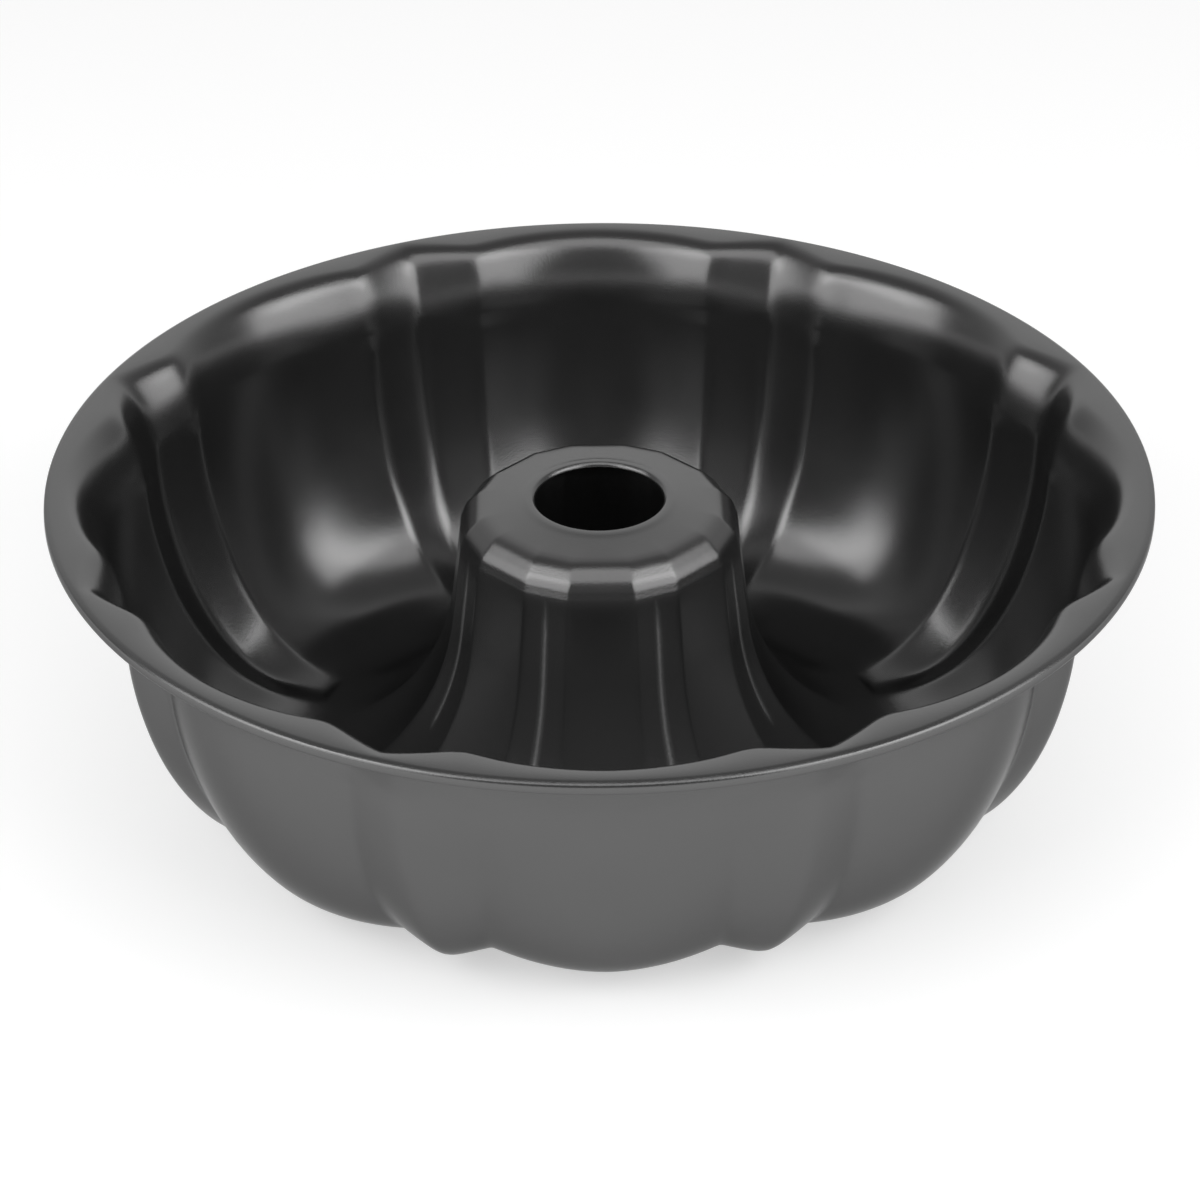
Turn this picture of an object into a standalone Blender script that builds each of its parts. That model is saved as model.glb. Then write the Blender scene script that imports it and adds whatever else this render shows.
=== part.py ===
"""Fluted tube pan: a ring cake mould pressed from one steel sheet, its edge rolled round a wire.

The shell is one open surface, the side that the cake touches, thickened outwards by the sheet. It is a loft
round the Z axis. A profile runs from the rolled edge over the flange, down the wall, along the floor and up
the centre tube, and the flutes push it into the cavity. Each large lobe is followed by a V groove between two
ridges. The grooves end in a toe on the floor, and the tube above them has flat facets.

Sizes are millimetres and degrees. The pan stands on Z = 0, with its axis on the origin. Inside the functions
a profile height is counted from the flange's top, downwards negative.
"""
import math
from collections import namedtuple

import bpy
import numpy as np

MM = 0.001

# Rim
RIM_DIAMETER = 265.0
SHEET = 0.6
WIRE_DIAMETER = 1.5
WIRE_GAP = 0.35
CURL_TURN = 270.0
FLANGE_WIDTH = 2.5

# Wall, from the flange down to the floor
DEPTH = 80.4
BEND_WIDTH = 9.1
BEND_HEIGHT = 17.0
WALL_SHARE = 0.79
WALL_FULLNESS = 1.85

# Centre tube
TUBE_RADIUS = 40.9
TUBE_HEIGHT = 74.2
TUBE_DRAFT = 6.5
FOOT_WIDTH = 34.0
FOOT_HEIGHT = 43.4
SHOULDER_WIDTH = 12.0
SHOULDER_HEIGHT = 6.1
CROWN_FALL = 1.1
FLAT_START = 6.0
FLAT_RUN = 6.0
HOLE_RADIUS = 15.9
LIP_RADIUS = 1.0

# Flutes: heights into the cavity, and angles from a groove's middle
LOBES = 8
RIDGE_HEIGHT = 3.6
RIDGE_ANGLE = 7.6
RIDGE_POWER = 1.75
RIDGE_REACH = 0.7
GROOVE_FLOOR = 0.3
TIP_REACH = 1.9
NARROW_SETBACK = 7.2
TOE_HEIGHT = 1.6
TOE_ANGLE = 5.0
TOE_LENGTH = 1.6
TOE_SETBACK = 0.6
FACET_ANGLE = 9.5
CREASE_DEPTH = 0.4
CREASE_TOP = 61.4
CREASE_FADE = 6.0
PAD_SHARE = 0.36

# Mesh
CURL_STEPS = 6
BEND_STEPS = 3
WALL_STEPS = 6
FOOT_STEPS = 3
CREASE_SHARE = 0.2
LOBE_SHARES = (0.28, 0.64)
WIRE_SIDES = 8

# Worked out from the sizes above
HALF_LOBE = 180.0 / LOBES
BEAD_RADIUS = WIRE_DIAMETER / 2 + WIRE_GAP + SHEET
BEAD_CENTRE = RIM_DIAMETER / 2 - BEAD_RADIUS
WALL_RADIUS = BEAD_CENTRE - FLANGE_WIDTH - BEND_WIDTH
WALL_HEIGHT = DEPTH - BEND_HEIGHT
FOOT_RADIUS = TUBE_RADIUS + FOOT_WIDTH
TOE_RADIUS = FOOT_RADIUS + TOE_SETBACK
WALL_RUN = WALL_SHARE * (WALL_RADIUS - TOE_RADIUS - TOE_LENGTH)
FLOOR_RADIUS = WALL_RADIUS - WALL_RUN
NARROW_RADIUS = WALL_RADIUS - NARROW_SETBACK
BASE_TO_RIM = DEPTH + SHEET
HALF_COLUMNS = len(LOBE_SHARES) + 3

# One ring of the loft. r and z are its place on the profile, and out_r and out_z point out of the cavity there.
# ridge is the ridge's angle, crest and groove are heights into the cavity at the ridge and in the groove, and
# pad is the flat share of a lobe. facets goes from 0, fluted, to 1, faceted, and crease is the tube's crease.
Ring = namedtuple("Ring", "r z out_r out_z ridge crest groove pad facets crease")
PLAIN = dict(out_r=1.0, out_z=0.0, ridge=None, crest=0.0, groove=0.0, pad=0.0, facets=0.0, crease=0.0)


def ring(r, z, **values):
    """A plain round ring of the loft, but for the given values."""
    return Ring(r=r, z=z, **{**PLAIN, **values})


def outward(dr, dz):
    """The unit direction out of the cavity, for a step along the profile from the rim to the tube's hole."""
    length = math.hypot(dr, dz)
    return dict(out_r=-dz / length, out_z=dr / length)


def curl_rings():
    """The rolled edge: an arc round the wire, from its hidden end to the flange's top."""
    rings = []
    for step in range(CURL_STEPS + 1):
        turn = math.radians(CURL_TURN * (1 - step / CURL_STEPS))
        rings.append(ring(BEAD_CENTRE + BEAD_RADIUS * math.sin(turn), BEAD_RADIUS * (math.cos(turn) - 1)))
    return rings


def bend_rings():
    """The soft bend from the flange to the wall: a quarter ellipse that the flutes reach into sideways."""
    rings = []
    for step in range(BEND_STEPS + 1):
        share = 1 - step / BEND_STEPS
        turn = share * math.pi / 2
        rings.append(ring(WALL_RADIUS + BEND_WIDTH * (1 - math.cos(turn)), BEND_HEIGHT * (math.sin(turn) - 1),
                          ridge=RIDGE_ANGLE, crest=RIDGE_HEIGHT + RIDGE_REACH * share,
                          groove=GROOVE_FLOOR - TIP_REACH * share))
    return rings


def ridge_angle(r):
    """The ridges' angle at a radius: steady on the wall's top half, then closing in on the groove to its toe."""
    share = min(max((NARROW_RADIUS - r) / (NARROW_RADIUS - TOE_RADIUS), 0.0), 1.0)
    return RIDGE_ANGLE + share * (TOE_ANGLE - RIDGE_ANGLE)


def wall_rings():
    """The curved wall: a quarter of a superellipse from the bend's foot to the floor."""
    rings = []
    power = 2 / WALL_FULLNESS
    for step in range(1, WALL_STEPS + 1):
        turn = step / WALL_STEPS * math.pi / 2
        c = max(math.cos(turn), 1e-9)
        s = math.sin(turn)
        direction = outward(-WALL_RUN * s * c ** (power - 1), -WALL_HEIGHT * c * s ** (power - 1))
        r = FLOOR_RADIUS + WALL_RUN * c ** power
        rings.append(ring(r, -BEND_HEIGHT - WALL_HEIGHT * s ** power, ridge=ridge_angle(r), crest=RIDGE_HEIGHT,
                          groove=GROOVE_FLOOR, pad=PAD_SHARE * s ** 12, **direction))
    return rings


def floor_rings():
    """The flat floor, on which the ridges sink until the groove between them ends in a toe."""
    rings = []
    toe_start = TOE_RADIUS + TOE_LENGTH
    for share in (0.4, 1.0):
        r = FLOOR_RADIUS + share * (toe_start - FLOOR_RADIUS)
        rings.append(ring(r, -DEPTH, ridge=ridge_angle(r), crest=RIDGE_HEIGHT + share * (TOE_HEIGHT - RIDGE_HEIGHT),
                          groove=GROOVE_FLOOR, pad=PAD_SHARE, **outward(-1, 0)))
    rings.append(ring(TOE_RADIUS, -DEPTH, ridge=TOE_ANGLE, crest=TOE_HEIGHT, groove=TOE_HEIGHT, pad=PAD_SHARE,
                      **outward(-1, 0)))
    return rings


def tube_radius(height):
    """The drafted tube's inner radius across its flats, at a height above the floor."""
    return TUBE_RADIUS - height * math.tan(math.radians(TUBE_DRAFT))


def foot_rings():
    """The sweep from the floor into the tube: a quarter ellipse on the tube's draft line."""
    rings = []
    for step in range(FOOT_STEPS + 1):
        share = step / FOOT_STEPS
        turn = share * math.pi / 2
        height = FOOT_HEIGHT * (1 - math.cos(turn))
        rings.append(ring(tube_radius(height) + FOOT_WIDTH * (1 - math.sin(turn)), height - DEPTH,
                          ridge=TOE_ANGLE + share * (FACET_ANGLE - TOE_ANGLE),
                          crest=TOE_HEIGHT, groove=TOE_HEIGHT, pad=PAD_SHARE * (1 - share),
                          facets=share, crease=CREASE_DEPTH * (step == FOOT_STEPS),
                          **outward(-FOOT_WIDTH * math.cos(turn), FOOT_HEIGHT * math.sin(turn))))
    return rings


def tube_rings():
    """The tube above its foot: the creased facets, the wide rounded shoulder and the low crown with its hole."""
    rings = []
    top = TUBE_HEIGHT - DEPTH
    for height, crease in ((CREASE_TOP - CREASE_FADE, CREASE_DEPTH), (CREASE_TOP, 0.0)):
        rings.append(ring(tube_radius(height), height - DEPTH, out_r=-1.0, ridge=FACET_ANGLE, facets=1.0,
                          crease=crease))
    shoulder = top - CROWN_FALL - SHOULDER_HEIGHT
    middle = tube_radius(shoulder + DEPTH) - SHOULDER_WIDTH
    flat = HOLE_RADIUS + LIP_RADIUS + FLAT_START
    for turn in (0.0, 22.0, 45.0, 75.0):
        r = middle + SHOULDER_WIDTH * math.cos(math.radians(turn))
        rings.append(ring(r, shoulder + SHOULDER_HEIGHT * math.sin(math.radians(turn)), out_r=-1.0,
                          ridge=FACET_ANGLE, facets=min(max((r - flat) / FLAT_RUN, 0.0), 1.0)))
    rings.append(ring(HOLE_RADIUS + LIP_RADIUS, top))
    rings.append(ring(HOLE_RADIUS, top - LIP_RADIUS))
    return rings


def column_angles(one):
    """Half a lobe's column angles from the groove's middle, on the ridges where the ring has them."""
    if one.ridge is None:
        return np.linspace(0.0, HALF_LOBE, HALF_COLUMNS + 1)
    lobe = HALF_LOBE - one.ridge
    return np.array([0.0, CREASE_SHARE * one.ridge, one.ridge]
                    + [one.ridge + share * lobe for share in LOBE_SHARES] + [HALF_LOBE])


def fluted(one, angle):
    """Height into the cavity of the V groove, its ridges and the lobes beside them."""
    if one.ridge is None:
        return np.zeros_like(angle)
    lobe = np.clip((HALF_LOBE - angle) / (HALF_LOBE - one.ridge), 0, 1)
    lobe = np.clip((lobe - one.pad) / (1 - one.pad), 0, 1)
    groove = one.groove + (one.crest - one.groove) * angle / one.ridge
    return np.where(angle < one.ridge, groove, one.crest * lobe ** RIDGE_POWER)


def faceted(one, angle):
    """Height of the tube's flats over its round: a wide one on each lobe, a narrow one on each groove's line."""
    if one.ridge is None:
        return np.zeros_like(angle)
    wide = 1 / np.cos(np.radians(HALF_LOBE - angle))
    corner = 1 / math.cos(math.radians(HALF_LOBE - one.ridge))
    narrow = corner * math.cos(math.radians(one.ridge)) / np.cos(np.radians(angle))
    crease = one.crease * np.clip(1 - angle / (CREASE_SHARE * one.ridge), 0, 1)
    return one.r * (np.where(angle < one.ridge, narrow, wide) - 1) - crease


def ring_points(one):
    """All the points of one ring, clockwise from the first groove's lobe as seen from above."""
    half = column_angles(one)
    height = (1 - one.facets) * fluted(one, half) + one.facets * faceted(one, half)
    angle = np.concatenate([-half[:0:-1], half[:-1]])
    height = np.concatenate([height[:0:-1], height[:-1]])
    middles = HALF_LOBE * (2 * np.arange(LOBES) + 1)
    turn = np.radians((middles[:, None] + angle[None, :]).ravel())
    radius = one.r - one.out_r * np.tile(height, LOBES)
    level = one.z - one.out_z * np.tile(height, LOBES) + BASE_TO_RIM
    return np.stack([radius * np.sin(turn), radius * np.cos(turn), level], axis=1) * MM


def material(name, shade, metallic, roughness):
    """A grey Principled material."""
    made = bpy.data.materials.new(name)
    made.use_nodes = True
    bsdf = made.node_tree.nodes["Principled BSDF"]
    bsdf.inputs["Base Color"].default_value = (shade, shade, shade, 1.0)
    bsdf.inputs["Metallic"].default_value = metallic
    bsdf.inputs["Roughness"].default_value = roughness
    return made


def make_shell(parts):
    """The pressed sheet: the lofted inner surface, thickened away from the cavity."""
    rings = curl_rings() + bend_rings() + wall_rings() + floor_rings() + foot_rings() + tube_rings()
    columns = 2 * HALF_COLUMNS * LOBES
    points = np.concatenate([ring_points(one) for one in rings])
    faces = []
    for row in range(len(rings) - 1):
        for column in range(columns):
            here = row * columns + column
            beside = row * columns + (column + 1) % columns
            faces.append((here, here + columns, beside + columns, beside))
    mesh = bpy.data.meshes.new("pan_shell")
    mesh.from_pydata(points.tolist(), [], faces)
    mesh.update()
    mesh.shade_smooth()
    mesh.set_sharp_from_angle(angle=math.radians(30))
    mesh.materials.append(material("coated_steel", 0.16, 0.85, 0.34))
    shell = bpy.data.objects.new("pan_shell", mesh)
    parts.objects.link(shell)
    thick = shell.modifiers.new("Sheet", "SOLIDIFY")
    thick.thickness = SHEET * MM
    thick.offset = -1.0
    thick.use_even_offset = True
    thick.use_quality_normals = True
    return shell


def make_wire(parts):
    """The ring of wire inside the rolled edge."""
    bpy.ops.mesh.primitive_torus_add(major_segments=2 * HALF_COLUMNS * LOBES, minor_segments=WIRE_SIDES,
                                     major_radius=BEAD_CENTRE * MM, minor_radius=WIRE_DIAMETER / 2 * MM,
                                     location=(0.0, 0.0, (BASE_TO_RIM - BEAD_RADIUS) * MM))
    wire = bpy.context.object
    wire.name = "rim_wire"
    wire.data.name = "rim_wire"
    wire.data.shade_smooth()
    wire.data.materials.append(material("bare_wire", 0.5, 1.0, 0.3))
    for collection in list(wire.users_collection):
        collection.objects.unlink(wire)
    parts.objects.link(wire)
    return wire


def main():
    for old in list(bpy.data.objects):
        bpy.data.objects.remove(old, do_unlink=True)
    parts = bpy.data.collections.new("fluted_tube_pan")
    bpy.context.scene.collection.children.link(parts)
    make_shell(parts)
    make_wire(parts)


main()
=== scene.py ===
"""A fluted tube pan on a white studio table, laid out as a Blender add-on and run as a script.

The pan is a ring cake mould: eight wide lobes, a V groove between two ridges beside each lobe, a hollow
faceted centre tube and a narrow flange whose edge is rolled round a wire. All sizes are metres.
"""
import math

import bpy
import numpy as np
from mathutils import Matrix, Vector


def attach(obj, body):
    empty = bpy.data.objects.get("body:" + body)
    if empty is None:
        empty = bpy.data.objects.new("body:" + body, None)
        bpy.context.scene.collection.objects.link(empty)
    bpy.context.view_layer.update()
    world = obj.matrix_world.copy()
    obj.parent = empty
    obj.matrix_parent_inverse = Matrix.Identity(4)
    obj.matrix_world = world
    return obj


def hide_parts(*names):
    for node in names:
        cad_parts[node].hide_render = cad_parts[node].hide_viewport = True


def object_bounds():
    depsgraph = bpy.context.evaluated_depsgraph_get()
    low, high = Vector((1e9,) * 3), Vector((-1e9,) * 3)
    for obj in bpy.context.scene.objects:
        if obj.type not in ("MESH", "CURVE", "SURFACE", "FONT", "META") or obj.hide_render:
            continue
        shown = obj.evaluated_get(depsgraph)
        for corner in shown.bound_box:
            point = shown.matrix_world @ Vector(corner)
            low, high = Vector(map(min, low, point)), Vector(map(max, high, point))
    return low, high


bl_info = {
    "name": "Fluted tube pan",
    "version": (1, 0, 0),
    "blender": (4, 5, 0),
    "location": "View3D > Sidebar > Tube pan",
    "description": "Builds a fluted tube pan, its coated finish and a white studio",
    "category": "Add Mesh",
}

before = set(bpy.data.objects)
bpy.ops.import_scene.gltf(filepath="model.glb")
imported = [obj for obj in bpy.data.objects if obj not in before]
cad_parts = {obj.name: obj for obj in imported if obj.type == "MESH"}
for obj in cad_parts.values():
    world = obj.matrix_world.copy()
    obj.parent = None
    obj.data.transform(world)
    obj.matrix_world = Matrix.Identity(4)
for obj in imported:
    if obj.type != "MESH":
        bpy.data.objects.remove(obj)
CAD_LOW, CAD_HIGH = [list(corner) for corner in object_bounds()]
RIM_RADIUS = (CAD_HIGH[0] - CAD_LOW[0]) / 2
RIM_LEVEL = CAD_HIGH[2]

# Rows of the profile in each stretch, and columns from a groove's middle to its ridge and on to the lobe's middle.
BEND_ROWS = 13
BASIN_ROWS = 75
TUBE_ROWS = 5
CROWN_ROWS = 20
LIP_ROWS = 4
RIDGE_COLUMNS = 10
LOBE_COLUMNS = 14
LOBE_COLUMN_POWER = 1.25

# The rolled edge from its hidden end to the flange, as reach and drop in shares of the bead's outer radius.
BEAD_REACH = (-0.82, -0.91, -0.74, -0.35, 0.12, 0.59, 0.88, 1.0, 0.99, 0.95, 0.84, 0.65, 0.29, 0)
BEAD_DROP = (1.0, 1.35, 1.71, 1.94, 2.0, 1.94, 1.74, 1.44, 1.0, 0.68, 0.46, 0.31, 0.11, 0)

# The bend's height goes with this power of a sine, and its grooves have this slope and this rounding.
BEND_POWER = 1.4
BEND_SLOPE = 0.2992
BEND_ROUND = 0.0018

# The wall is a quarter of a superellipse of the power 1.85.
WALL_POWER = 2 / 1.85
BASIN_ROUND = 0.0025

# Angles from a groove's middle in degrees, and how the lobes and grooves are shaped between them.
RIDGE_ANGLE = 7.57
RIDGE_NARROWING = 2.57
GROOVE_BOTTOM_ANGLE = 0.8
LOBE_POWER = 1.749
LOBE_TOP_ROUND = 0.06
CORNER_ROUND = 0.00073
WALL_CORNER_ROUND = 0.0005
TOE_CORNER_ROUND_LESS = 0.0002
GROOVE_SIDE_SHARE = 1.05
# The ridges draw together and the grooves rise between these two radii.
NARROW_FROM = 0.112
NARROW_TO = 0.0755
GROOVE_RISE = 0.0003

# A groove ends in a toe just outside the sweep of the tube's foot, and its ridges sink towards it.
TOE_GAP = 0.0006
TOE_FADE = 0.018
TOE_CREST = 0.0013
TOE_SLOPE = 0.5
TOE_ROUND = 0.0003
TOE_HIGHEST = 0.05

# The flange's inner edge swings out at a groove's middle and in near its ridges.
CONTOUR_OUT = 0.0019
CONTOUR_IN = 0.0007
CONTOUR_ANGLE = 8
CONTOUR_SPREAD = 3

# The tube's narrow flats reach this angle to each side, and a crease runs down their middles.
FACET_ANGLE = 9.5
FACET_ROUND = 0.004
CREASE_DEPTH = 0.0001
CREASE_ANGLE = 0.9
# Half width in degrees of the painted highlight along the middle of the tube's crease.
CREASE_HIGHLIGHT_ANGLE = 0.8
# The crease fades out over this share of the foot's width, and above this height over the floor.
CREASE_FOOT_START = 0.88
CREASE_FOOT_RUN = 0.08
CREASE_TOP = 0.0629
CREASE_TOP_RUN = 0.006

# The tube's top as radius and drop below the hole's rim, in millimetres: ring, dome, bevel and side.
CROWN_RADIUS = (17.9, 19.2, 23.5, 28.4, 32.4, 33.2)
CROWN_DROP = (0, 0.4, 1.1, 2.0, 6.0, 8.3)
CROWN_ROUND = 0.0005
CROWN_FINE_RADIUS = 0.018
CROWN_FACETS_START = 0.0225
CROWN_FACETS_RUN = 0.005
LIP_RADIUS = 0.001

SHARP_ANGLE = math.radians(50)

# The room's light from all round, what its back adds, and the sines of the elevations between which the white
# of the horizon ends.
ROOM_LIGHT = 0.22
BACK_LIGHT = 1.35
HORIZON_WHITE = 0.08
HORIZON_END = 0.14

# Each lamp's name, azimuth, elevation, width and height in degrees, and radiance.
LAMP_DISTANCE = 0.9
LAMPS = (("key_left", -119, 30, 56, 44, 1.9),
         ("key_right", 120, 30, 56, 44, 2.05),
         ("front_panel", 180, 62, 120, 26, 1.4))


class PanShape(bpy.types.PropertyGroup):
    """Sizes of the pressed sheet, on the side that the cake touches."""

    sheet: bpy.props.FloatProperty(
        name="Sheet", description="Thickness of the steel", default=0.0006, unit="LENGTH")
    bead: bpy.props.FloatProperty(
        name="Bead", description="Outer radius of the rolled edge's section", default=0.0017, unit="LENGTH")
    flange: bpy.props.FloatProperty(
        name="Flange", description="Flat width from the bead's crown to the bend", default=0.0025, unit="LENGTH")
    depth: bpy.props.FloatProperty(
        name="Depth", description="From the flange's top down to the floor", default=0.0803, unit="LENGTH")
    bend_width: bpy.props.FloatProperty(
        name="Bend width", description="Width of the bend below the flange", default=0.0091, unit="LENGTH")
    bend_height: bpy.props.FloatProperty(
        name="Bend height", description="Height of the bend below the flange", default=0.017, unit="LENGTH")
    wall_run: bpy.props.FloatProperty(
        name="Wall run", description="How far the curved wall leans in", default=0.0333, unit="LENGTH")
    tube_radius: bpy.props.FloatProperty(
        name="Tube radius", description="Across the tube's flats, at the floor", default=0.0409, unit="LENGTH")
    tube_height: bpy.props.FloatProperty(
        name="Tube height", description="From the floor to the rim of the tube's hole", default=0.0741,
        unit="LENGTH")
    tube_draft: bpy.props.FloatProperty(
        name="Tube draft", description="Lean of the tube's side", default=math.radians(6.5), subtype="ANGLE")
    foot_width: bpy.props.FloatProperty(
        name="Foot width", description="Width of the sweep round the tube's foot", default=0.0340,
        unit="LENGTH")
    foot_height: bpy.props.FloatProperty(
        name="Foot height", description="Height of the sweep round the tube's foot", default=0.0434,
        unit="LENGTH")
    hole: bpy.props.FloatProperty(
        name="Hole", description="Radius of the tube's hole", default=0.0155, unit="LENGTH")
    lobes: bpy.props.IntProperty(name="Lobes", description="Wide lobes round the wall", default=8, min=3)
    ridge: bpy.props.FloatProperty(
        name="Ridge", description="Height of the ridges into the cavity", default=0.0039, unit="LENGTH")
    groove: bpy.props.FloatProperty(
        name="Groove", description="Depth of the grooves behind the lobes", default=0.0005, unit="LENGTH")


class PanFinish(bpy.types.PropertyGroup):
    """Colours and gloss of the pan."""

    coat: bpy.props.FloatVectorProperty(
        name="Coat", description="Colour of the non-stick coat", subtype="COLOR", size=3,
        default=(0.125, 0.125, 0.125), min=0, max=1)
    coat_gloss: bpy.props.FloatProperty(
        name="Coat roughness", description="Roughness of the coat", default=0.21, min=0, max=1)
    wire: bpy.props.FloatVectorProperty(
        name="Wire", description="Colour of the bare wire", subtype="COLOR", size=3,
        default=(0.5, 0.5, 0.5), min=0, max=1)


class StudioSettings(bpy.types.PropertyGroup):
    """Where the camera stands and how wide the table is."""

    elevation: bpy.props.FloatProperty(
        name="Elevation", description="Camera's height angle", default=math.radians(31.81), subtype="ANGLE")
    turn: bpy.props.FloatProperty(
        name="Turn", description="Camera's turn round the pan", default=math.radians(-0.60), subtype="ANGLE")
    roll: bpy.props.FloatProperty(
        name="Roll", description="Camera's roll", default=math.radians(0.34), subtype="ANGLE")
    distance: bpy.props.FloatProperty(
        name="Distance", description="From the camera to the point it looks at", default=1.131, unit="LENGTH")
    aim_level: bpy.props.FloatProperty(
        name="Aim", description="Height that the camera looks at", default=0.0454, unit="LENGTH")
    lens: bpy.props.FloatProperty(
        name="Lens", description="Focal length on a 36 mm sensor", default=139.4)
    table: bpy.props.FloatProperty(
        name="Table", description="Half width of the white table", default=4.0, unit="LENGTH")


def soft_min(a, b, width):
    """The lower of two heights, with the corner between them rounded over the width."""
    return 0.5 * (a + b - np.sqrt((a - b) ** 2 + width ** 2))


def smooth_step(x):
    """From 0 to 1 with level ends, for x from 0 to 1."""
    x = np.clip(x, 0, 1)
    return x * x * (3 - 2 * x)


def rounded(path, width, fine_r, count):
    """A path with its corners rounded over the width, as points that stand closer together near a radius.

    Each point is a mean along the path, with a normal curve of that width as its weights. At the radius the
    points stand 3.5 times as close as far from it.
    """
    per_width, reach, crowding, fine_span = 20, 80, 2.5, 0.003
    length = np.concatenate([[0], np.cumsum(np.hypot(*np.diff(path, axis=0).T))])
    even = np.arange(0, length[-1], width / per_width)
    ends = np.concatenate([np.full(reach, even[0]), even, np.full(reach, even[-1])])
    weight = np.exp(-0.5 * (np.arange(-reach, reach + 1) / per_width) ** 2)
    weight /= weight.sum()
    smooth = np.stack([np.convolve(np.interp(ends, length, path[:, k]), weight, "valid") for k in (0, 1)], axis=1)
    crowd = np.cumsum(1 + crowding * np.exp(-((smooth[:, 0] - fine_r) / fine_span) ** 2))
    step = np.interp(np.linspace(crowd[0], crowd[-1], count), crowd, even)
    return np.stack([np.interp(step, even, smooth[:, k]) for k in (0, 1)], axis=1)


def rows(r, z, **values):
    """One stretch of the profile: every named value as an array of as many rows, the rest at a plain value."""
    plain = dict(out_r=1.0, out_z=0.0, ridge=RIDGE_ANGLE, crest=0.0, groove=0.0, slope=0.0, toe=-1.0,
                 plateau=1.0, round=CORNER_ROUND, facets=0.0, crease=0.0, reach=0.0, flutes=1.0)
    values = {"r": r, "z": z, **plain, **values}
    return {name: np.broadcast_to(np.asarray(value, float), (len(r),)).copy() for name, value in values.items()}


def bead_rows(shape, bead_r):
    """The rolled edge, from its hidden end round the outside to the flange."""
    return rows(bead_r + shape.bead * np.array(BEAD_REACH), -shape.bead * np.array(BEAD_DROP), flutes=0.0)


def bend_rows(shape, wall_r):
    """The bend from the flange to the wall: 1 - cosine of the turn across, and a power of its sine in height."""
    turn = np.radians(np.linspace(90, 0, BEND_ROWS))
    return rows(wall_r + shape.bend_width * (1 - np.cos(turn)),
                shape.bend_height * (np.sin(turn) ** BEND_POWER - 1),
                crest=shape.ridge, groove=shape.groove, slope=BEND_SLOPE, round=BEND_ROUND,
                reach=turn / (math.pi / 2))


def tube_side(shape, rise):
    """The radius of the tube's side at a height over the floor."""
    return shape.tube_radius - math.tan(shape.tube_draft) * rise


def basin_path(shape, wall_r, foot_r):
    """The wall as a quarter of a superellipse, the level floor, and the foot as a quarter of an ellipse."""
    curve_points, floor_points = 400, 60
    turn = np.radians(np.linspace(0, 90, curve_points))
    c, s = np.clip(np.cos(turn), 1e-9, 1), np.sin(turn)
    height = shape.depth - shape.bend_height
    rise = shape.foot_height * (1 - c)
    wall = [wall_r - shape.wall_run * (1 - c ** WALL_POWER), -shape.bend_height - height * s ** WALL_POWER]
    floor_r = np.linspace(wall_r - shape.wall_run, foot_r, floor_points)[1:-1]
    floor = [floor_r, np.full(len(floor_r), -shape.depth)]
    foot = [tube_side(shape, rise) + shape.foot_width * (1 - s), rise - shape.depth]
    return np.concatenate([np.stack(part, axis=1) for part in (wall, floor, foot)])


def basin_rows(shape, wall_r, foot_r):
    """The wall, the floor and the sweep round the tube's foot, with the ridges, the grooves and their toes."""
    path = rounded(basin_path(shape, wall_r, foot_r), BASIN_ROUND, foot_r, BASIN_ROWS)
    r, z = path[1:].T
    dr, dz = np.gradient(path, axis=0)[1:].T
    length = np.hypot(dr, dz)
    low = np.clip((NARROW_FROM - r) / (NARROW_FROM - NARROW_TO), 0, 1)
    toe_r = foot_r + TOE_GAP
    fade = smooth_step((toe_r + TOE_FADE - r) / TOE_FADE)
    foot = np.clip((foot_r - r) / shape.foot_width, 0, 1)
    crest = shape.ridge + (TOE_CREST - shape.ridge) * fade
    groove = shape.groove - GROOVE_RISE * low
    ridge = RIDGE_ANGLE - RIDGE_NARROWING * low
    return rows(r, z, out_r=-dz / length, out_z=dr / length, crest=crest, groove=groove,
                ridge=ridge + (FACET_ANGLE - ridge) * smooth_step(foot), plateau=1 - fade,
                slope=GROOVE_SIDE_SHARE * (crest + groove) / (r * np.radians(ridge)),
                toe=(toe_r - r) * TOE_SLOPE, round=WALL_CORNER_ROUND - TOE_CORNER_ROUND_LESS * fade,
                facets=smooth_step(foot), crease=smooth_step((foot - CREASE_FOOT_START) / CREASE_FOOT_RUN))


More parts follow.
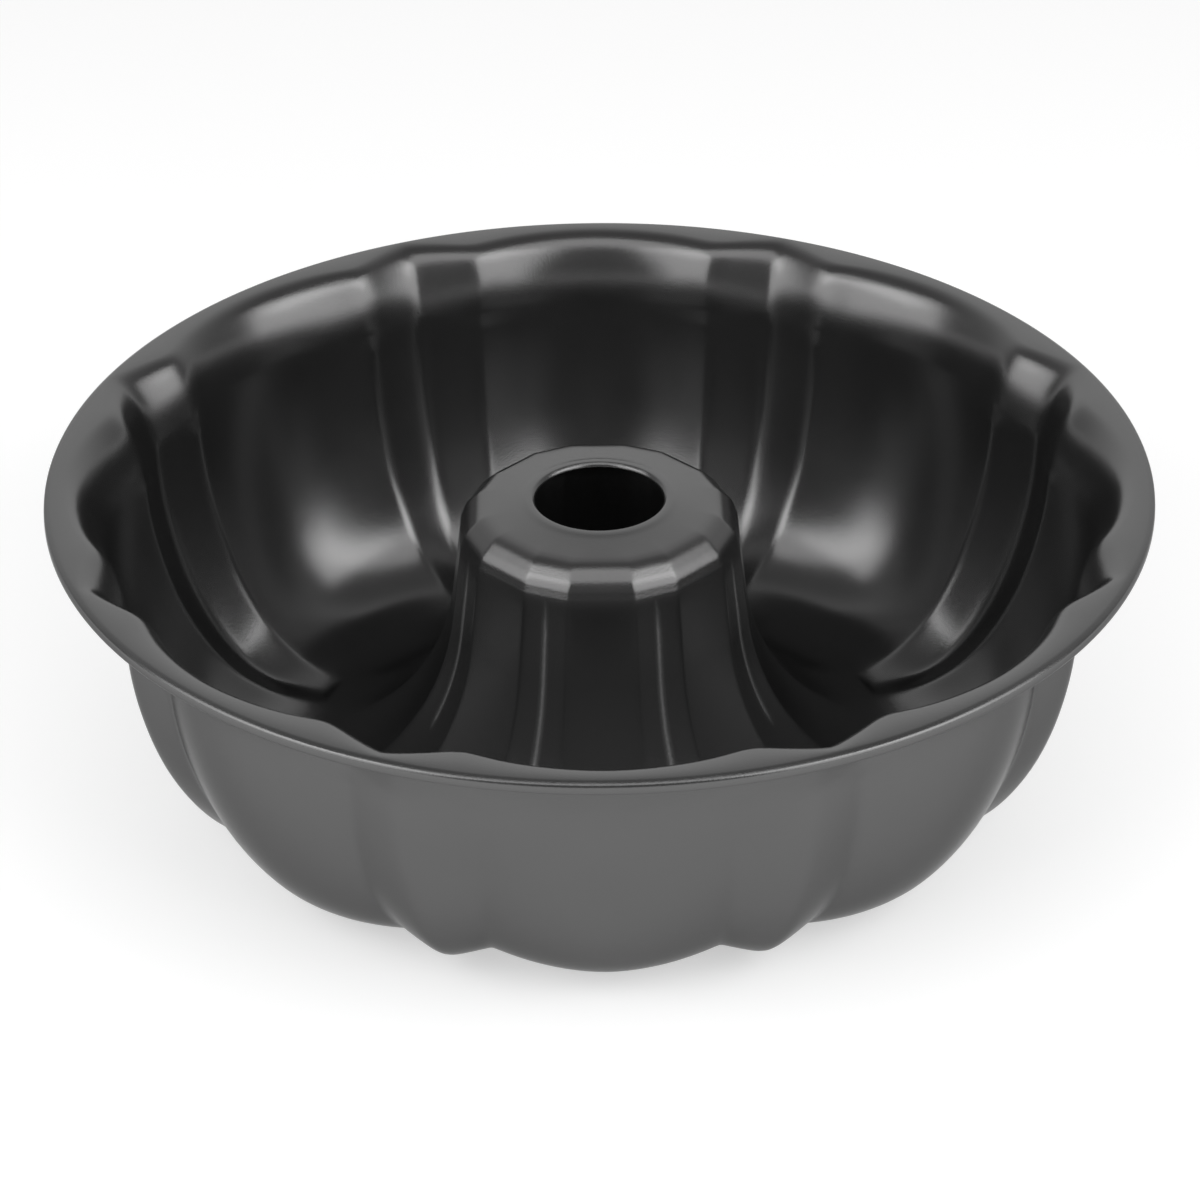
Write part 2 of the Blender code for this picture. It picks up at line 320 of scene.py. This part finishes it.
def tube_rows(shape, low):
    """The tube's side from a height below the flange's top, then its crown and the lip of its hole.

    The crown's path runs on past both ends, so that its rounding leaves them straight, and is cut there.
    """
    on_tube = dict(out_r=-1.0, ridge=FACET_ANGLE)
    margin, side_run_on, path_points = 0.001, 0.0088, 200
    top = shape.tube_height - shape.depth
    crown = np.stack([CROWN_RADIUS, -np.array(CROWN_DROP)], axis=1)[::-1] / 1000 + [0, top]
    below = crown[0] + [margin, -side_run_on]
    beyond = [shape.hole + LIP_RADIUS - margin, top]
    rise = np.linspace(low + shape.depth, crown[0, 1] + shape.depth - margin, TUBE_ROWS + 1)[1:]
    side = rows(tube_side(shape, rise), rise - shape.depth, facets=1.0,
                crease=smooth_step((CREASE_TOP - rise) / CREASE_TOP_RUN), **on_tube)
    crown = np.concatenate([[below], crown, [beyond]])
    crown = rounded(crown, CROWN_ROUND, CROWN_FINE_RADIUS, path_points)
    above_side = crown[:, 1] > rise[-1] - shape.depth + margin / 2
    crown = crown[above_side & (crown[:, 0] >= shape.hole + LIP_RADIUS)]
    r, z = crown[np.linspace(0, len(crown) - 1, CROWN_ROWS).astype(int)].T
    turn = np.radians(np.linspace(0, 90, LIP_ROWS + 1))[1:]
    return [side,
            rows(r, z, facets=smooth_step((r - CROWN_FACETS_START) / CROWN_FACETS_RUN), **on_tube),
            rows(shape.hole + LIP_RADIUS * (1 - np.sin(turn)), top - LIP_RADIUS * (1 - np.cos(turn)),
                 flutes=0.0, **on_tube)]


def pan_profile(shape):
    """The profile on a lobe's middle, from the rolled edge's hidden end to the tube's hole.

    r and z are the radius and the height from the flange's top. out_r and out_z point out of the cavity, along
    the profile's normal, or level on the bend and the tube. The other values say how the flutes look there:
    crest and groove are their heights, ridge the ridge's angle in degrees, slope the groove's side, round the
    rounding between them, toe the height of the groove's end face, plateau how far the ridges rise on over the
    groove, facets the share of the tube's flats, crease the share of the tube's crease, reach the share of the
    flange's contour, and flutes the share of all of these.
    """
    bead_r = RIM_RADIUS - shape.bead
    wall_r = bead_r - shape.flange - shape.bend_width
    foot_r = shape.tube_radius + shape.foot_width
    parts = [bead_rows(shape, bead_r), bend_rows(shape, wall_r), basin_rows(shape, wall_r, foot_r)]
    parts += tube_rows(shape, parts[-1]["z"][-1])
    return {name: np.concatenate([part[name] for part in parts])[:, None] for name in parts[0]}


def flute_height(shape, p, angle):
    """How far the sheet stands into the cavity, by profile row and angle from the groove's middle in degrees.

    A lobe rises to its ridge as a power of the angle from the lobe's middle. A V groove with a rounded bottom
    cuts into it, and an end face closes the groove at its toe. The lower of the two counts, with a rounded
    corner. On the tube a rounded polygon of wide and narrow flats takes over, with a crease on the narrow one.
    """
    half = 180 / shape.lobes
    angle = np.abs(angle)
    lobe = (half - angle) / (half - p["ridge"])
    lobe = np.clip(soft_min(lobe, 1 + p["plateau"], LOBE_TOP_ROUND), 0, None)
    lobe = p["crest"] * lobe ** LOBE_POWER
    side = p["slope"] * p["r"] * np.radians(np.sqrt(angle ** 2 + GROOVE_BOTTOM_ANGLE ** 2))
    end = -soft_min(-side, -np.clip(p["toe"], -1, TOE_HIGHEST), TOE_ROUND)
    fluted = soft_min(lobe, end - p["groove"], p["round"])
    swing_in = CONTOUR_IN * np.exp(-((angle - CONTOUR_ANGLE) / CONTOUR_SPREAD) ** 2)
    contour = CONTOUR_OUT * np.clip(1 - angle / CONTOUR_ANGLE, 0, 1) - swing_in
    fluted = (fluted - p["reach"] * contour) * p["flutes"]
    wide = 1 / np.cos(np.radians(half - angle))
    corner = math.cos(math.radians(FACET_ANGLE)) / math.cos(math.radians(half - FACET_ANGLE))
    narrow = corner / np.cos(np.radians(angle))
    crease = CREASE_DEPTH * p["crease"] * np.exp(-(angle / CREASE_ANGLE) ** 2)
    faceted = p["r"] * (soft_min(wide, narrow, FACET_ROUND) - 1) - crease
    return (1 - p["facets"]) * fluted + p["facets"] * faceted


def pan_surface(shape):
    """The inner surface as rows of the profile by columns round the axis, which follow the ridges.

    A point is the profile's point moved into the cavity by the flutes' height, then turned round the axis. The
    second array is the share of the painted highlight along the tube's crease at each point, from 0 to 1.
    """
    p = pan_profile(shape)
    half = 180 / shape.lobes
    inner = np.linspace(0, 1, RIDGE_COLUMNS + 1)
    outer = np.linspace(0, 1, LOBE_COLUMNS + 1)[1:] ** LOBE_COLUMN_POWER
    ridge = p["ridge"]
    angle = np.concatenate([inner[None, :] * ridge, ridge + outer[None, :] * (half - ridge)], axis=1)
    angle = np.concatenate([-angle[:, :0:-1], angle[:, :-1]], axis=1)
    height = flute_height(shape, p, angle)
    radius = p["r"] - p["out_r"] * height
    level = p["z"] - p["out_z"] * height + RIM_LEVEL
    middles = np.arange(shape.lobes) * 2 * half + half
    turn = np.radians(np.concatenate([angle + middle for middle in middles], axis=1))
    radius = np.tile(radius, (1, shape.lobes))
    level = np.tile(level, (1, shape.lobes))
    crease_highlight = np.tile(p["crease"] * np.exp(-(angle / CREASE_HIGHLIGHT_ANGLE) ** 2), (1, shape.lobes))
    return np.stack([radius * np.sin(turn), radius * np.cos(turn), level], axis=2), crease_highlight


def surface_normals(points):
    """Unit normals of a grid that closes round its columns, pointing into the cavity and up."""
    along = np.gradient(points, axis=0)
    wrapped = np.concatenate([points[:, -1:], points, points[:, :1]], axis=1)
    across = (wrapped[:, 2:] - wrapped[:, :-2]) / 2
    normal = np.cross(along, across)
    return normal / np.linalg.norm(normal, axis=2, keepdims=True)


def closed_grid(name, points):
    """A mesh from rows of points that close both round the rows and round the columns."""
    count, around = points.shape[:2]
    row = np.arange(count)[:, None]
    column = np.arange(around)[None, :]
    below = (row + 1) % count
    beside = (column + 1) % around
    quads = np.stack([row * around + column, below * around + column, below * around + beside,
                      row * around + beside], axis=2).reshape(-1, 4)
    mesh = bpy.data.meshes.new(name)
    mesh.vertices.add(count * around)
    mesh.vertices.foreach_set("co", points.reshape(-1).astype(np.float32))
    mesh.loops.add(quads.size)
    mesh.loops.foreach_set("vertex_index", quads.reshape(-1).astype(np.int32))
    mesh.polygons.add(len(quads))
    mesh.polygons.foreach_set("loop_start", np.arange(0, quads.size, 4, dtype=np.int32))
    mesh.update(calc_edges=True)
    mesh.validate()
    return mesh


def add_node(tree, kind, inputs=None, **settings):
    """A new node: an input is linked where it is given a socket, and set where it is given a value."""
    node = tree.nodes.new(kind)
    for name, value in settings.items():
        setattr(node, name, value)
    for key, value in (inputs or {}).items():
        if isinstance(value, bpy.types.NodeSocket):
            tree.links.new(value, node.inputs[key])
        else:
            node.inputs[key].default_value = value
    return node


def calculate(tree, operation, *values):
    """The result of a math node on sockets and numbers."""
    return add_node(tree, "ShaderNodeMath", dict(enumerate(values)), operation=operation).outputs[0]


def map_range(tree, value, *, low, high, to_low, to_high):
    """A value mapped from low and high to two other values, and held at its ends."""
    inputs = {"Value": value, "From Min": low, "From Max": high, "To Min": to_low, "To Max": to_high}
    return add_node(tree, "ShaderNodeMapRange", inputs).outputs["Result"]


def noise(tree, scale, detail):
    """Noise from 0 to 1 over the object's own coordinates."""
    where = add_node(tree, "ShaderNodeTexCoord").outputs["Object"]
    return add_node(tree, "ShaderNodeTexNoise", {"Vector": where, "Scale": scale, "Detail": detail}).outputs["Fac"]


def mix_color(tree, factor, a, b):
    """A blend of two colours."""
    return add_node(tree, "ShaderNodeMix", {"Factor": factor, "A": a, "B": b}, data_type="RGBA").outputs["Result"]


def new_material(name):
    """An empty node material and its tree."""
    material = bpy.data.materials.new(name)
    material.use_nodes = True
    tree = material.node_tree
    tree.nodes.clear()
    return material, tree


def coat_material(finish):
    """A dark grey non-stick coat with a fine sandy grain, and a grainy light grey painted highlight down the
    tube's creases.
    """
    material, tree = new_material("coated_steel")
    grain = noise(tree, scale=2600, detail=2)
    cloud = noise(tree, scale=60, detail=3)
    gloss_spread, tone_spread = 0.02, 0.03
    darker, lighter = [(*[share * c for c in finish.coat], 1) for share in (1 - tone_spread, 1 + tone_spread)]
    tone = mix_color(tree, cloud, darker, lighter)
    # Painted highlight: along the tube's creases the coat's colour turns to a light steel grey, broken up by the
    # grain.
    crease_highlight = add_node(tree, "ShaderNodeAttribute", attribute_name="crease").outputs["Fac"]
    painted_highlight = calculate(tree, "MULTIPLY", crease_highlight, grain)
    highlight_grey = (0.9, 0.9, 0.9, 1)
    bump = add_node(tree, "ShaderNodeBump", {"Height": grain, "Strength": 0.3, "Distance": 0.0001})
    shader = add_node(tree, "ShaderNodeBsdfPrincipled", {
        "Base Color": mix_color(tree, painted_highlight, tone, highlight_grey),
        "Metallic": 0.9,
        "Roughness": map_range(tree, cloud, low=0.3, high=0.7, to_low=finish.coat_gloss - gloss_spread,
                               to_high=finish.coat_gloss + gloss_spread),
        "Specular Tint": (0.5, 0.5, 0.5, 1),
        "Normal": bump.outputs["Normal"]})
    add_node(tree, "ShaderNodeOutputMaterial", {"Surface": shader.outputs["BSDF"]})
    return material


def wire_material(finish):
    """Plain drawn wire whose gloss varies a little from spot to spot."""
    material, tree = new_material("wire_steel")
    marks = noise(tree, scale=900, detail=2)
    shader = add_node(tree, "ShaderNodeBsdfPrincipled", {
        "Base Color": (*finish.wire, 1),
        "Metallic": 1.0,
        "Roughness": map_range(tree, marks, low=0, high=1, to_low=0.25, to_high=0.4)})
    add_node(tree, "ShaderNodeOutputMaterial", {"Surface": shader.outputs["BSDF"]})
    return material


def table_material():
    """A white table that keeps the pan's shadow.

    To the camera and in reflections it also glows white, a little more far off, but not under the pan, where the
    missing glow is painted shade.
    """
    material, tree = new_material("white_table")
    paper = add_node(tree, "ShaderNodeBsdfDiffuse", {"Color": (0.6, 0.6, 0.6, 1)}).outputs["BSDF"]
    where = add_node(tree, "ShaderNodeTexCoord").outputs["Object"]
    away = add_node(tree, "ShaderNodeVectorMath", {0: where}, operation="LENGTH").outputs["Value"]
    # Painted shade: there is no glow within 5 to 7 cm of the axis, under the pan, and it ramps up to half strength
    # beyond that.
    clear = map_range(tree, away, low=0.05, high=0.07, to_low=0.0, to_high=0.5)
    far = map_range(tree, away, low=0.5, high=1.5, to_low=0.0, to_high=0.4)
    glow = add_node(tree, "ShaderNodeEmission", {"Strength": calculate(tree, "ADD", far, clear)})
    both = add_node(tree, "ShaderNodeAddShader", {0: paper, 1: glow.outputs["Emission"]})
    ray = add_node(tree, "ShaderNodeLightPath").outputs
    seen = calculate(tree, "MAXIMUM", ray["Is Camera Ray"], ray["Is Glossy Ray"])
    seen = calculate(tree, "MAXIMUM", seen, ray["Is Transmission Ray"])
    mix = add_node(tree, "ShaderNodeMixShader", {0: seen, 1: paper, 2: both.outputs[0]})
    add_node(tree, "ShaderNodeOutputMaterial", {"Surface": mix.outputs[0]})
    return material


def room_light(tree):
    """The room's light by direction: the level light, plus the back light times the square of the part along +Y.

    A low band above the horizon is white in every direction, as the far end of the table is.
    """
    where = add_node(tree, "ShaderNodeTexCoord").outputs["Generated"]
    split = add_node(tree, "ShaderNodeSeparateXYZ", {0: where}).outputs
    square = calculate(tree, "POWER", calculate(tree, "MAXIMUM", split["Y"], 0), 2)
    room = calculate(tree, "MULTIPLY_ADD", square, BACK_LIGHT, ROOM_LIGHT)
    horizon = map_range(tree, split["Z"], low=HORIZON_WHITE, high=HORIZON_END, to_low=1.0, to_high=0.0)
    sky = tree.nodes["Background"]
    sky.inputs["Color"].default_value = (1, 1, 1, 1)
    tree.links.new(calculate(tree, "MAXIMUM", room, horizon), sky.inputs["Strength"])


class TUBEPAN_OT_shell(bpy.types.Operator):
    """Build the pressed sheet with its flange, lobes, grooves and centre tube"""

    bl_idname = "tubepan.shell"
    bl_label = "Pan shell"

    def execute(self, context):
        shape = context.scene.tubepan_shape
        inner, crease_highlight = pan_surface(shape)
        outer = inner - shape.sheet * surface_normals(inner)
        mesh = closed_grid("pressed_sheet", np.concatenate([inner, outer[::-1]]))
        # The painted highlight along the crease is kept on the inner side only.
        crease_highlight = np.concatenate([crease_highlight, np.zeros_like(crease_highlight)]).reshape(-1).astype(np.float32)
        mesh.attributes.new("crease", "FLOAT", "POINT").data.foreach_set("value", crease_highlight)
        mesh.shade_smooth()
        mesh.set_sharp_from_angle(angle=SHARP_ANGLE)
        mesh.materials.append(coat_material(context.scene.tubepan_finish))
        pan = bpy.data.objects.new("pressed_sheet", mesh)
        context.scene.collection.objects.link(pan)
        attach(pan, "root")
        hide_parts("pan_shell")
        return {"FINISHED"}


class TUBEPAN_OT_wire(bpy.types.Operator):
    """Give the wire inside the rolled edge its steel"""

    bl_idname = "tubepan.wire"
    bl_label = "Rim wire"

    def execute(self, context):
        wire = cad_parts["rim_wire"]
        wire.data.materials.clear()
        wire.data.materials.append(wire_material(context.scene.tubepan_finish))
        return {"FINISHED"}


def softbox(scene, name, azimuth, elevation, width, height, glow):
    """A rectangular lamp that faces the pan, at an azimuth from the back towards +X and an elevation in degrees.

    Its width and height are angles as seen from the pan, and glow is its radiance, where 1 is white. Its power is
    pi times the radiance times the area.
    """
    a, e = math.radians(azimuth), math.radians(elevation)
    away = Vector((math.sin(a) * math.cos(e), math.cos(a) * math.cos(e), math.sin(e)))
    data = bpy.data.lights.new(name, "AREA")
    data.shape = "RECTANGLE"
    data.size = 2 * LAMP_DISTANCE * math.tan(math.radians(width / 2))
    data.size_y = 2 * LAMP_DISTANCE * math.tan(math.radians(height / 2))
    data.energy = glow * math.pi * data.size * data.size_y
    lamp = bpy.data.objects.new(name, data)
    lamp.location = Vector((0, 0, RIM_LEVEL / 2)) + away * LAMP_DISTANCE
    lamp.rotation_euler = away.to_track_quat("Z", "Y").to_euler()
    scene.collection.objects.link(lamp)


def place_camera(scene, studio):
    """The camera looks at a point on the pan's axis from its distance, elevation, turn and roll."""
    back = Vector((math.sin(studio.turn) * math.cos(studio.elevation),
                   -math.cos(studio.turn) * math.cos(studio.elevation), math.sin(studio.elevation)))
    right = Vector((math.cos(studio.turn), math.sin(studio.turn), 0))
    up = back.cross(right)
    c, s = math.cos(studio.roll), math.sin(studio.roll)
    axes = Matrix((c * right - s * up, s * right + c * up, back)).transposed().to_4x4()
    data = bpy.data.cameras.new("camera")
    data.sensor_width = 36
    data.lens = studio.lens
    data.clip_start = 0.05
    data.clip_end = 50
    camera = bpy.data.objects.new("camera", data)
    place = Vector((0, 0, studio.aim_level)) + back * studio.distance
    camera.matrix_world = Matrix.Translation(place) @ axes
    scene.collection.objects.link(camera)
    scene.camera = camera


class TUBEPAN_OT_studio(bpy.types.Operator):
    """Set up the white table, the soft light, the world and the camera"""

    bl_idname = "tubepan.studio"
    bl_label = "Studio"

    def execute(self, context):
        scene = context.scene
        studio = scene.tubepan_studio
        half = studio.table
        mesh = bpy.data.meshes.new("table")
        corners = [(-half, -half, 0), (half, -half, 0), (half, half, 0), (-half, half, 0)]
        mesh.from_pydata(corners, [], [(0, 1, 2, 3)])
        mesh.materials.append(table_material())
        table = bpy.data.objects.new("table", mesh)
        scene.collection.objects.link(table)
        world = bpy.data.worlds.new("white_room")
        world.use_nodes = True
        room_light(world.node_tree)
        scene.world = world
        for lamp in LAMPS:
            softbox(scene, *lamp)
        place_camera(scene, studio)
        scene.view_settings.view_transform = "Standard"
        return {"FINISHED"}


class TUBEPAN_PT_panel(bpy.types.Panel):
    """The pan's pieces in the sidebar"""

    bl_idname = "TUBEPAN_PT_panel"
    bl_label = "Tube pan"
    bl_space_type = "VIEW_3D"
    bl_region_type = "UI"
    bl_category = "Tube pan"

    def draw(self, context):
        for operator in (TUBEPAN_OT_shell, TUBEPAN_OT_wire, TUBEPAN_OT_studio):
            self.layout.operator(operator.bl_idname)
        for name in ("tubepan_shape", "tubepan_finish", "tubepan_studio"):
            group = getattr(context.scene, name)
            box = self.layout.box()
            for field in group.bl_rna.properties:
                if not field.is_readonly and field.identifier != "name":
                    box.prop(group, field.identifier)


CLASSES = (PanShape, PanFinish, StudioSettings, TUBEPAN_OT_shell, TUBEPAN_OT_wire, TUBEPAN_OT_studio,
           TUBEPAN_PT_panel)


def register():
    for item in CLASSES:
        bpy.utils.register_class(item)
    bpy.types.Scene.tubepan_shape = bpy.props.PointerProperty(type=PanShape)
    bpy.types.Scene.tubepan_finish = bpy.props.PointerProperty(type=PanFinish)
    bpy.types.Scene.tubepan_studio = bpy.props.PointerProperty(type=StudioSettings)


def unregister():
    del bpy.types.Scene.tubepan_studio
    del bpy.types.Scene.tubepan_finish
    del bpy.types.Scene.tubepan_shape
    for item in reversed(CLASSES):
        bpy.utils.unregister_class(item)


def main():
    register()
    bpy.ops.tubepan.shell()
    bpy.ops.tubepan.wire()
    bpy.ops.tubepan.studio()


if __name__ == "__main__":
    main()
